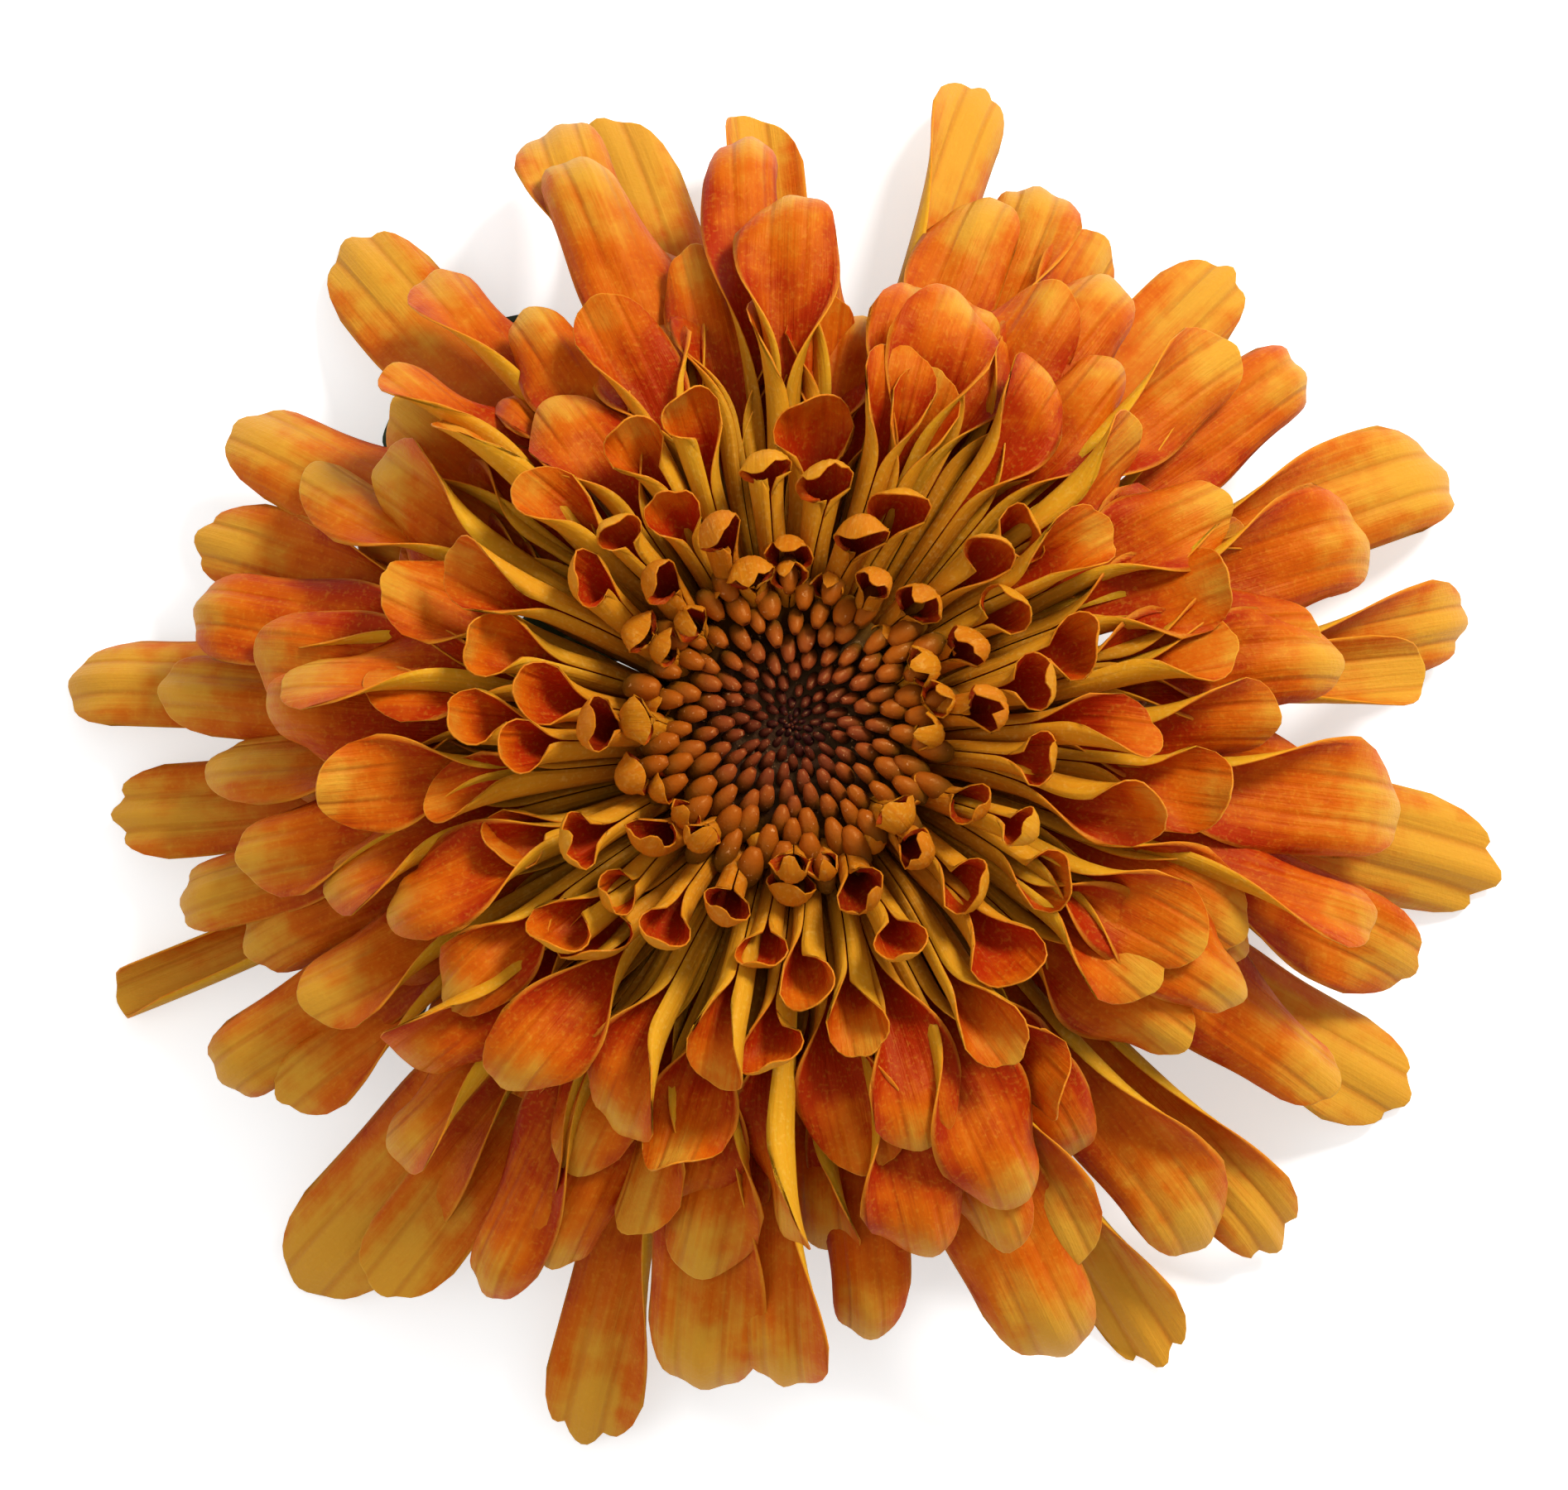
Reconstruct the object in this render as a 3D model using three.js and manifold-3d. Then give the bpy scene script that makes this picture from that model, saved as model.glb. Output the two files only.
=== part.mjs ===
// Disbud chrysanthemum: one large flower head picked with a short stem and two leaves, lying face up.
// Millimetres, +Z up. The origin is at the middle of the box's underside, on the surface the flower lies on.
import * as THREE from 'three';
import { mergeVertices } from 'three/addons/utils/BufferGeometryUtils.js';
import Module from 'manifold-3d';

const wasm = await Module();
wasm.setup();

// ---- Driving dimensions ----
// How far the florets of a full whorl stray, in degrees and as a share of the reach.
const UNEVEN = { azimuth: 3.2, reach: 0.05 };
const DOME = { radius: 12.6, height: 11.5, foot: 16.5 }; // the receptacle, an ellipse turned about the axis
const STEM = { radius: 2.7, waist: 6, swell: 10.5, flareTop: 13.2, flareRadius: 4.05 }; // heights and radii
const GAP = 0.35; // clearance between neighbouring solids
const FLORET_SHEET = 0.5; // thickness of a ray floret's solid
// The half width of a floret's base: its limit, and its share of the floret's width.
const CLAW = { widest: 0.95, share: 0.36 };
const BLADE_OPENS = 0.75; // the share of a floret's length where its blade is at its widest
const BLADE_ROUNDS = 0.8; // and where its end starts to round off
const BLADE_DISH = 0.26; // half the angle, in radians, that a blade curls up across its width
// The ring a full whorl grows from, in degrees up the dome and in millimetres.
const COLLAR = { halfAngle: 1.35, depth: 0.8 };
const FIRST_ROW_ANGLE = 7; // degrees up the dome, where the outermost row grows
const ROW_PITCH = 4.6; // degrees up the dome from one row to the next
const DISC = {
  baseAngle: 53.5, rimRadius: 12.2, rimTop: 33.2, hollowTop: 29.8, side: 1.6, crown: 0.7, dip: 1.3,
};
const BRACT = { count: 13, thickness: 0.5, halfWidth: 1.5, pointHalfWidth: 0.25, keel: 0.25 };
const BRACT_RINGS = [
  { name: 'bracts_inner', inner: 4.6, outer: 13.5, drop: 0.8, turn: 0 },
  { name: 'bracts_outer', inner: 4.2, outer: 10.5, drop: 1.7, turn: Math.PI / BRACT.count },
];
const LEAF = { thickness: 0.8, stalkHalfWidth: 0.9, stalkRise: 4.9, lobes: 3.6, edgeLift: 0.9 };

// Rows from the outermost to the innermost. reach and tip are the usual radius and height of a floret's tip,
// rise and fall the slopes in degrees where a floret leaves the dome and at its tip.
const ROWS = [
  { name: 'guard_floret', reach: 64, tip: 1.4, rise: 10, fall: -22 },
  { name: 'outer_floret', reach: 59, tip: 7.2, rise: 15, fall: -23 },
  { name: 'back_floret', reach: 56, tip: 12, rise: 20.5, fall: -18 },
  { name: 'whorl_1', reach: 51, tip: 18.1, rise: 27.5, fall: -10, width: 7.5 },
  { name: 'whorl_2', reach: 46, tip: 23, rise: 32, fall: 0, count: 24, width: 7.2 },
  { name: 'whorl_3', reach: 39.5, tip: 28.6, rise: 37, fall: 14, count: 24, width: 6.6 },
  { name: 'whorl_4', reach: 32.5, tip: 33.4, rise: 43, fall: 32, count: 24, width: 5.4 },
  { name: 'whorl_5', reach: 26, tip: 36.6, rise: 49, fall: 50, count: 20, width: 4.6 },
  { name: 'young_florets_outer', reach: 20, tip: 37.8, rise: 54, fall: 68, count: 16, width: 3.6 },
  { name: 'young_florets_inner', reach: 15, tip: 36.2, rise: 58, fall: 76, count: 22, width: 2.6 },
];

const SINGLE_ROWS = 3; // how many of the outer rows are made of separate florets

// The florets that make the outline, each as [azimuth in degrees, reach, width].
const OUTLINE = {
  guard_floret: [
    [10, 63, 7], [27, 66, 9], [49, 62, 7.5], [77, 66, 7], [104, 64, 9.5],
    [131, 65, 9], [170, 67, 8], [187, 62, 6], [199, 65, 3.5], [228, 65, 10],
    [251, 64, 8], [301, 64, 8], [317, 62, 7], [330, 64, 9], [353, 65, 10],
  ],
  outer_floret: [
    [8, 58, 5.5], [36, 58, 6.5], [64, 58, 8], [92, 60, 5.5], [112, 63, 8],
    [147, 60, 10], [159, 58, 7.5], [175, 58, 6.5], [193, 57, 7], [209, 59, 7.5],
    [234, 61, 6], [259, 57, 9.5], [292, 59, 9.5], [312, 58, 9], [344, 60, 8.5],
  ],
  back_floret: [
    [22, 56, 9.5], [56, 56, 8], [72, 55, 7.5], [108, 58, 9], [127, 55, 8],
    [165, 56, 8], [181, 53, 8.5], [198, 53, 8.5], [213, 56, 6.5], [238, 56, 7],
    [267, 57, 8], [279, 53, 7], [299, 53, 8.5], [330, 58, 9], [353, 55, 9.5],
  ],
  whorl_1: [
    [11, 48, 7.5], [45, 52, 7], [60, 53, 7.3], [84, 48, 6.5], [96, 54, 6.2],
    [138, 48, 7.2], [155, 51, 6.5], [169, 49, 7.6], [194, 49, 7.6], [228, 53, 8],
    [249, 51, 7], [263, 49, 8.5], [290, 50, 8.6], [342, 53, 8.8],
  ],
};

const LEAVES = [
  { name: 'leaf_large', azimuth: 130, length: 50, width: 30 },
  { name: 'leaf_small', azimuth: 205, length: 47, width: 22 },
];

// ---- Materials ----
const paint = (colour, roughness) => new THREE.MeshStandardMaterial({ color: colour, roughness, metalness: 0 });
const GUARD_GOLD = paint(0xd08a24, 0.5);
const PETAL_ORANGE = paint(0xc9661c, 0.5);
const PETAL_RED = paint(0xb0401a, 0.5);
const YOUNG_AMBER = paint(0xb56a1c, 0.5);
const DISC_BROWN = paint(0x6a3216, 0.55);
const STEM_GREEN = paint(0x6d8a4a, 0.6);
const LEAF_GREEN = paint(0x3f5a3a, 0.6);

// ---- Solids ----
function toSolid(geometry) {
  const bare = geometry.clone();
  bare.deleteAttribute('normal');
  bare.deleteAttribute('uv');
  const merged = mergeVertices(bare, 1e-4);
  return new wasm.Manifold(new wasm.Mesh({
    numProp: 3,
    vertProperties: merged.attributes.position.array,
    triVerts: new Uint32Array(merged.index.array),
  }));
}

function toGeometry(solid) {
  const mesh = solid.getMesh();
  const geometry = new THREE.BufferGeometry();
  geometry.setAttribute('position', new THREE.BufferAttribute(mesh.vertProperties, 3));
  geometry.setIndex(new THREE.BufferAttribute(mesh.triVerts, 1));
  geometry.computeVertexNormals();
  return geometry;
}

function join(geometries) {
  return toGeometry(geometries.map(toSolid).reduce((all, one) => all.add(one)));
}

// A sheet with thickness: place(u, v, side) gives the point at u along it (0 to 1), v across it (-1 to 1)
// and side through it (-0.5 to 0.5).
function sheet(across, along, place) {
  const geometry = new THREE.BoxGeometry(2, 1, 1, across, along, 1);
  const position = geometry.attributes.position;
  for (let i = 0; i < position.count; i++) {
    const point = place(position.getY(i) + 0.5, position.getX(i), position.getZ(i));
    position.setXYZ(i, point.x, point.y, point.z);
  }
  return geometry;
}

function lathe(profile, sides) {
  return new THREE.LatheGeometry(profile.map(([r, z]) => new THREE.Vector2(r, z)), sides).rotateX(Math.PI / 2);
}

const domePoint = (degrees, out = 0) => {
  const a = THREE.MathUtils.degToRad(degrees);
  return [(DOME.radius + out) * Math.cos(a), DOME.foot + (DOME.height + out) * Math.sin(a)];
};

// The middle line of a row's floret as a curve in the XZ plane, from the dome to a tip at the given reach.
function spine(row, index, reach) {
  const [baseR, baseZ] = domePoint(FIRST_ROW_ANGLE + ROW_PITCH * index, GAP + 0.3);
  const rise = THREE.MathUtils.degToRad(row.rise);
  const fall = THREE.MathUtils.degToRad(row.fall);
  const tipZ = Math.max(row.tip + (reach - row.reach) * Math.tan(fall), FLORET_SHEET / 2);
  const span = 0.4 * Math.hypot(reach - baseR, tipZ - baseZ);
  return new THREE.CubicBezierCurve3(
    new THREE.Vector3(baseR, 0, baseZ),
    new THREE.Vector3(baseR + span * Math.cos(rise), 0, baseZ + span * Math.sin(rise)),
    new THREE.Vector3(reach - span * Math.cos(fall), 0, tipZ - span * Math.sin(fall)),
    new THREE.Vector3(reach, 0, tipZ),
  );
}

// Half the width at u: a narrow claw that opens into a blade with a round end.
function bladeHalfWidth(u, width) {
  const claw = Math.min(CLAW.widest, CLAW.share * width);
  const open = THREE.MathUtils.smoothstep(u, 0.05, BLADE_OPENS);
  const end = Math.max(0, (u - BLADE_ROUNDS) / (1 - BLADE_ROUNDS));
  return (claw + (width / 2 - claw) * open) * Math.sqrt(1 - 0.82 * end * end);
}

function floretSheet(curve, width, across, along) {
  return sheet(across, along, (u, v, side) => {
    const t = 1 - (1 - u) ** 1.35; // shorter steps towards the tip
    const rounded = Math.min(1, t * (1 - 0.035 * v * v * t));
    const centre = curve.getPoint(rounded);
    const tangent = curve.getTangent(rounded);
    const normal = new THREE.Vector3(-tangent.z, 0, tangent.x);
    const half = bladeHalfWidth(t, width);
    const grown = THREE.MathUtils.smoothstep(t, 0, 0.3);
    const dish = 0.08 + BLADE_DISH * grown;
    const through = side * FLORET_SHEET * (0.5 + 0.5 * grown);
    const turn = dish * v;
    const lift = (half / dish) * (1 - Math.cos(turn)) + through * Math.cos(turn);
    const sideways = (half / dish) * Math.sin(turn) - through * Math.sin(turn);
    return centre.addScaledVector(normal, lift).add(new THREE.Vector3(0, -sideways, 0));
  });
}

// A row of florets joined by the thin collar that they all grow from.
function whorl(row, index, florets) {
  const angle = FIRST_ROW_ANGLE + ROW_PITCH * index;
  const low = angle - COLLAR.halfAngle;
  const high = angle + COLLAR.halfAngle;
  const outer = GAP + COLLAR.depth;
  const outline = [domePoint(low, GAP), domePoint(low, outer), domePoint(high, outer), domePoint(high, GAP)];
  const collar = lathe([...outline, outline[0]], florets.length);
  const blades = florets.map(([azimuth, reach, width]) =>
    floretSheet(spine(row, index, reach), width, width > 6 ? 2 : 1, 3).rotateZ(azimuth));
  return join([collar, ...blades]);
}

// ---- Parts ----
function singleFlorets(row, index, material) {
  const group = new THREE.Group();
  OUTLINE[row.name].forEach(([azimuth, reach, width], i) => {
    const floret = new THREE.Mesh(floretSheet(spine(row, index, reach), width, 2, 6), material);
    floret.name = `${row.name}_${String(i + 1).padStart(2, '0')}`;
    floret.rotation.z = THREE.MathUtils.degToRad(azimuth);
    group.add(floret);
  });
  return group;
}

// A full turn of florets, each a little off its even place.
function evenFlorets(row, index) {
  const step = (2 * Math.PI) / row.count;
  return Array.from({ length: row.count }, (_, i) => {
    const stray = THREE.MathUtils.degToRad(UNEVEN.azimuth) * Math.sin(2.4 * i + 1.7 * index);
    const longer = 1 + UNEVEN.reach * Math.sin(3.9 * i + index);
    return [(i + 0.5 * (index % 2)) * step + stray, row.reach * longer, row.width];
  });
}

function whorlMesh(row, index, material) {
  const listed = OUTLINE[row.name];
  const florets = listed
    ? listed.map(([azimuth, reach, width]) => [THREE.MathUtils.degToRad(azimuth), reach, width])
    : evenFlorets(row, index);
  const mesh = new THREE.Mesh(whorl(row, index, florets), material);
  mesh.name = row.name;
  return mesh;
}

function discFlorets() {
  const [r, z] = domePoint(DISC.baseAngle, GAP);
  const top = DOME.foot + DOME.height + GAP;
  const profile = [
    [0, top],
    [r * 0.6, top - 0.65],
    [r, z],
    [DISC.rimRadius - 0.9, DISC.rimTop - DISC.side],
    [DISC.rimRadius, DISC.rimTop],
    [DISC.rimRadius - 1.2, DISC.rimTop + DISC.crown],
    [DISC.rimRadius * 0.55, DISC.hollowTop + DISC.dip],
    [DISC.rimRadius * 0.2, DISC.hollowTop],
    [0, DISC.hollowTop],
  ];
  const mesh = new THREE.Mesh(lathe(profile, 34), DISC_BROWN);
  mesh.name = 'disc_florets';
  return mesh;
}

function stemWithReceptacle() {
  const profile = [
    [0, 0],
    [STEM.radius, 0],
    [STEM.radius * 0.94, STEM.waist],
    [STEM.radius * 1.05, STEM.swell],
    [STEM.flareRadius, STEM.flareTop],
  ];
  for (let a = 0; a < 90; a += 15) profile.push(domePoint(a));
  profile.push([0, DOME.foot + DOME.height]);
  const mesh = new THREE.Mesh(lathe(profile, 26), STEM_GREEN);
  mesh.name = 'stem_with_receptacle';
  return mesh;
}

// Green scales under the head: a ring that hugs the receptacle and its pointed scales.
function bractRing({ name, inner, outer, drop, turn }) {
  const slope = (DOME.foot - STEM.flareTop) / (DOME.radius - STEM.flareRadius);
  const underside = (r) => STEM.flareTop + (r - STEM.flareRadius) * slope - drop;
  const scale = (azimuth) => sheet(1, 3, (u, v, side) => {
    const r = inner + (outer - inner) * u;
    const half = BRACT.halfWidth * (1 - u) ** 0.5 + BRACT.pointHalfWidth;
    return new THREE.Vector3(r, -v * half, underside(r) + side * BRACT.thickness + BRACT.keel * v * v);
  }).rotateZ(azimuth);
  const scales = Array.from({ length: BRACT.count }, (_, i) => scale(turn + (i * 2 * Math.PI) / BRACT.count));
  const near = inner - 0.5;
  const far = inner + 1;
  const half = BRACT.thickness / 2;
  const outline = [
    [near, underside(near) - half],
    [far, underside(far) - half],
    [far, underside(far) + half],
    [near, underside(near) + half],
  ];
  const ring = lathe([...outline, outline[0]], BRACT.count);
  const mesh = new THREE.Mesh(join([ring, ...scales]), STEM_GREEN);
  mesh.name = name;
  return mesh;
}

// A lobed leaf: its stalk leaves the stem and its blade lies on the surface.
function leaf({ name, azimuth, length, width }) {
  const start = STEM.radius + GAP;
  const blade = sheet(4, 20, (u, v, side) => {
    const r = start + (length - start) * u;
    const open = THREE.MathUtils.smoothstep(u, 0.22, 0.5);
    const round = Math.sqrt(Math.max(0.02, 1 - Math.max(0, (u - 0.55) / 0.45) ** 2));
    const lobes = 0.72 + 0.28 * Math.cos((u - 0.62) * Math.PI * 2 * LEAF.lobes);
    const half = LEAF.stalkHalfWidth + (width / 2 - LEAF.stalkHalfWidth) * open * round * (0.35 + 0.65 * lobes);
    const stalk = LEAF.stalkRise * (1 - THREE.MathUtils.smoothstep(u, 0.02, 0.4));
    const z = LEAF.thickness / 2 + stalk + LEAF.edgeLift * Math.abs(v) * open;
    return new THREE.Vector3(r, -v * half, z + side * LEAF.thickness);
  });
  const mesh = new THREE.Mesh(blade, LEAF_GREEN);
  mesh.name = name;
  mesh.rotation.z = THREE.MathUtils.degToRad(azimuth);
  return mesh;
}

// ---- Assembly ----
const head = new THREE.Group();
const rowPaint = [
  GUARD_GOLD, GUARD_GOLD, PETAL_ORANGE, PETAL_ORANGE, PETAL_ORANGE, PETAL_RED, PETAL_RED, PETAL_RED,
];
ROWS.forEach((row, index) => {
  const material = rowPaint[index] ?? YOUNG_AMBER;
  head.add(index < SINGLE_ROWS ? singleFlorets(row, index, material) : whorlMesh(row, index, material));
});
head.add(discFlorets());

const green = new THREE.Group();
green.add(stemWithReceptacle());
BRACT_RINGS.forEach((ring) => green.add(bractRing(ring)));
LEAVES.forEach((each) => green.add(leaf(each)));

const flower = new THREE.Group();
flower.add(head, green);
flower.updateMatrixWorld(true);
const box = new THREE.Box3().setFromObject(flower, true);
const middle = box.getCenter(new THREE.Vector3());
flower.position.set(-middle.x, -middle.y, -box.min.z);

export default flower;
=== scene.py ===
"""Looks of a large orange chrysanthemum bloom, lying face up on a short stub of stem and two leaves."""
import math
import random
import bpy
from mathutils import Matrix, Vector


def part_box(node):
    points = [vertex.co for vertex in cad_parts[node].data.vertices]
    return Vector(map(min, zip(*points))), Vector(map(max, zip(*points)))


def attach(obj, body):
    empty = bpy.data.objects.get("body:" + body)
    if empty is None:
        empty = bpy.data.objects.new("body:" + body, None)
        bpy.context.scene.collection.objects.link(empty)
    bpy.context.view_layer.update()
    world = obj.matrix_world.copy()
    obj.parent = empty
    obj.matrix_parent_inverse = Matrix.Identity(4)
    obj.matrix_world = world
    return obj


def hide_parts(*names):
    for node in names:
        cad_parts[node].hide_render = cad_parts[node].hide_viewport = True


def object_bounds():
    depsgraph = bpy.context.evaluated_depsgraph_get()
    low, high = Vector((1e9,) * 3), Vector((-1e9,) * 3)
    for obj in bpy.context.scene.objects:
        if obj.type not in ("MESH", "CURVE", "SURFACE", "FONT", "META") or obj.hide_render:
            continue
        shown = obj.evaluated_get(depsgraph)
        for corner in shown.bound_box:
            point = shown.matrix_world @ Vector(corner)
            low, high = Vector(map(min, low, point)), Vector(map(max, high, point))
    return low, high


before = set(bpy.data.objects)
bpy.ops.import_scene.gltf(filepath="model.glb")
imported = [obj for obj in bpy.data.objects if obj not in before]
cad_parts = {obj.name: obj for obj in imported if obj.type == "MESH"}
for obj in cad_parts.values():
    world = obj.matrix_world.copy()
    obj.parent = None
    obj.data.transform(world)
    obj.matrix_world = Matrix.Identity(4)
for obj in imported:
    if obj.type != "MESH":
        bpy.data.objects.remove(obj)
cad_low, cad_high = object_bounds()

from types import SimpleNamespace

import bmesh
import bpy
from mathutils import Matrix, Vector, noise

MM = 0.001

# ---- Where the bloom stands ----
stem_low, stem_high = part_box("stem_with_receptacle")
AXIS = Vector(((stem_low.x + stem_high.x) / 2, (stem_low.y + stem_high.y) / 2, 0))
disc_low, disc_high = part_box("disc_florets")
DISC_RADIUS = (disc_high.x - disc_low.x) / 2

# ---- The camera looks down on the face of the bloom ----
VIEW_ELEVATION = math.radians(82)
VIEW_DISTANCE = 0.65
VIEW_WIDTH = 0.1405  # how wide a stretch the view takes in where it is aimed
AIM_HEIGHT = 4 * MM
SENSOR = 36

# ---- Light ----
FLOOR_GLOW = 0.5  # lifts the floor to white where the camera sees it
ROOM_LIGHT = 0.57

# ---- How the florets of each row are shaped ----
# rise, fall    the slopes in degrees at the base and at the tip
# flat          the width of the unrolled blade in millimetres, or 0 where the frame gives it
# dish, lip     the turn in radians of each half of the open blade, and the extra turn of its margins
# curl          the least and the most turn in radians of the tip, which turns down where it is negative
# hook          the length of the stretch that curls, as a share of the flat width
# opens         the shares of the length where the tube begins and ends to open
# lag           how much later, as such a share, one side may open
# twist, sway   the usual twist in degrees and bend sideways in millimetres
# height        the largest stray up or down in millimetres
# pleat, notch  the depths in millimetres of the grooves and of the cuts at the tip
# tone          from 0, the deep red of young florets, to 1, the gold of old ones
ROWS = {
    "guard_floret": dict(
        rise=12, fall=-14, flat=0, dish=-0.7, lip=-0.2, curl=(-1.0, -0.1), hook=0.8, lag=0.44,
        opens=(0.04, 0.72), twist=12, sway=3.4, height=0.6, pleat=0.26, notch=0.8, tone=(0.74, 1.0)),
    "outer_floret": dict(
        rise=17, fall=-12, flat=0, dish=-1.0, lip=-0.3, curl=(-1.5, -0.3), hook=0.8, lag=0.44,
        opens=(0.1, 0.75), twist=15, sway=3.0, height=1.2, pleat=0.18, notch=0.4, tone=(0.56, 0.86)),
    "back_floret": dict(
        rise=22, fall=-6, flat=0, dish=-1.2, lip=-0.3, curl=(-1.6, -0.4), hook=0.8, lag=0.42,
        opens=(0.17, 0.78), twist=18, sway=2.8, height=1.4, pleat=0.13, notch=0.3, tone=(0.46, 0.76)),
    "whorl_1": dict(
        rise=27, fall=3, flat=9.9, dish=-1.3, lip=-0.3, curl=(-1.7, -0.4), hook=0.8, lag=0.4,
        opens=(0.26, 0.81), twist=20, sway=2.6, height=1.6, pleat=0.1, notch=0.2, tone=(0.38, 0.68)),
    "whorl_2": dict(
        rise=32, fall=13, flat=9.7, dish=-1.3, lip=-0.2, curl=(-1.8, -0.2), hook=0.8, lag=0.36,
        opens=(0.32, 0.84), twist=22, sway=2.4, height=1.6, pleat=0.08, notch=0.2, tone=(0.3, 0.6)),
    "whorl_3": dict(
        rise=38, fall=25, flat=9.2, dish=-0.9, lip=0.1, curl=(-1.8, 1.2), hook=0.75, lag=0.32,
        opens=(0.4, 0.88), twist=24, sway=2.0, height=1.5, pleat=0.07, notch=0.2, tone=(0.2, 0.5)),
    "whorl_4": dict(
        rise=46, fall=38, flat=8.8, dish=0.3, lip=0.7, curl=(-1.2, 2.2), hook=0.7, lag=0.24,
        opens=(0.5, 0.96), twist=24, sway=1.6, height=1.3, pleat=0.05, notch=0.3, tone=(0.12, 0.4)),
    "whorl_5": dict(
        rise=53, fall=52, flat=8.4, dish=1.1, lip=0.8, curl=(0.8, 2.7), hook=0.66, lag=0.2,
        opens=(0.56, 0.97), twist=24, sway=1.2, height=1.1, pleat=0.04, notch=0.9, tone=(0.06, 0.3)),
    "young_florets_outer": dict(
        rise=58, fall=66, flat=8.4, dish=1.4, lip=0.5, curl=(1.4, 2.7), hook=0.62, lag=0.12,
        opens=(0.6, 0.98), twist=22, sway=0.9, height=0.9, pleat=0.04, notch=1.6, tone=(0.0, 0.25)),
    "young_florets_inner": dict(
        rise=62, fall=76, flat=7.2, dish=1.7, lip=0.4, curl=(1.6, 2.7), hook=0.62, lag=0.1,
        opens=(0.62, 0.98), twist=18, sway=0.6, height=0.7, pleat=0.03, notch=1.6, tone=(0.1, 0.4)),
}

# ---- How every ray floret is made ----
ALONG = 34
ACROSS = 16
FLORET_THICKNESS = 0.15 * MM
LEAST_BLADE = 8.8 * MM  # the narrowest flat blade of an outer floret; one that looks narrower is rolled
BLADE_SPARE = 1.2  # how much wider the flat blade of an outer floret is than it looks
ROLLED = (1.3, 1.7)  # between these turns in radians, an open floret becomes a rolled one
TUBE_TURN = 3.1  # the turn in radians of each half of a floret where it is a closed tube
CLAW_WIDTH = 0.5  # the width at the base and at the waist, as shares of the full width
WAIST_WIDTH = 0.8
CLAW_WIDENS = (0, 0.36)  # the shares of the length where it widens to the waist and then to the full width
BLADE_WIDENS = (0.35, 0.76)
TWISTS = (0.15, 0.9)  # the shares of the length where the twist begins and ends
LAG_START = 0.6  # how much of a side's lag delays the start of its opening, and the end of it
LAG_END = 0.75
ROUND_LENGTH = 0.78  # how much of its flat width a floret's tip takes to round off
ROUNDNESS = 0.98  # 1 would be a half ellipse, whose corners crumple
TIP_CROWDING = 1.6  # how much closer the rows of points stand towards the tip
NOTCH_WIDTH = 0.12  # half the width of a cut at the tip, as a share of the half width
GROOVE_PLACE = 0.36  # where the two grooves run, as a share of the half width
RUFFLE = 0.04  # how far the open margins wave, as a share of the half width
UNEVEN = 0.5 * MM  # how uneven the open blade is
SPINE_PULL = 0.4  # how far the slopes at the ends reach along a floret's middle line
LEAST_CURL = 0.05  # radians
EARLIEST_CURL = 0.3  # share of the length
MOST_ROLL = 2.5  # radians
LOWEST_TIP = 0.6 * MM
LOWEST_BLADE = 0.35 * MM

# ---- How single florets stray from their row ----
AZIMUTH_STRAY = 3.2  # degrees
FALL_STRAY = 7  # degrees
REACH_RANGE = (0.96, 1.04)
FLAT_RANGE = (0.88, 1.12)
DISH_RANGE = (0.75, 1.2)
LIP_RANGE = (0.7, 1.3)
PROMPT_RANGE = (0, 0.3)  # the lag of the side that opens first, and of the other
LATE_RANGE = (0.2, 1.4)
LEFT_FIRST = 0.25  # the share of florets whose left side opens first
NOTCH_RANGE = (0.0, 1.6)
NOTCH_PLACES = (0.25, 0.42)
TWIST_RANGE = (-1.0, 2.0)
PLEAT_RANGE = (0.6, 1.4)
OPENS_RANGE = (-0.1, 0.08)

# ---- How the florets are found in the frame ----
ROOT_DEPTH = 0.9 * MM  # how far out from the innermost point the roots of a node's florets reach
TIP_ZONE = 0.86  # the share of the reach past which points belong to tips
TIP_DEPTH = 0.25 * MM
TIP_WINDOW = math.radians(6.2)  # half the angle that one tip may take up

# ---- The second set of florets under the gaps of the two lowest whorls ----
UNDERLAID = ("whorl_1", "whorl_2")
UNDER_REACH = 0.92
UNDER_DROP = 3.4 * MM

# ---- The disc ----
BUD_COUNT = 175
GOLDEN_ANGLE = math.pi * (3 - math.sqrt(5))
DISC_HOLLOW = 3.4 * MM
DISC_SINK = 0.9 * MM  # how far the rim between the buds lies under the top of the frame's disc
BUD_CROWDING = 1.75  # how much closer the buds stand towards the middle
BUD_SPREAD = 1.02  # how far out the last buds stand, as a share of the disc's radius
BUD_WIDTHS = (0.24, 1.2)  # millimetres in the middle and at the rim, and so on below
BUD_HEIGHTS = (1.6, 4.8)
BUD_BENDS = (0.5, 1.9)  # radians that a bud leans inwards from foot to head
BUD_SUNK = 0.62  # how much of a bud's height is under the top of the disc
BED_SPREAD = 0.86

# ---- Stem, bracts and leaves ----
STEM_PROFILE = ((0.0, 0.0), (2.2, 0.0), (2.55, 0.25), (2.6, 1.2), (2.5, 5.0), (2.6, 9.5), (3.2, 11.8),
                (4.05, 13.2), (7.6, 14.6), (11.6, 16.1), (12.5, 17.2), (12.2, 19.8), (10.6, 22.7),
                (8.6, 25.0), (5.6, 26.9))  # radius and height in millimetres
RIB_COUNT = 8
RIB_DEPTH = 0.06
RIBS_FADE = (14 * MM, 10 * MM)
BRACT_HALF_WIDTH = 2.0 * MM
BRACT_THICKNESS = 0.35 * MM
BRACT_TAPER = 0.62  # how much narrower a scale is at its tip
BRACT_POINT = 0.25  # how much shorter it is at its margins
BRACT_CUP = 0.4 * MM  # how much higher its margins are
LEAF_THICKNESS = 0.4 * MM
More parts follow.
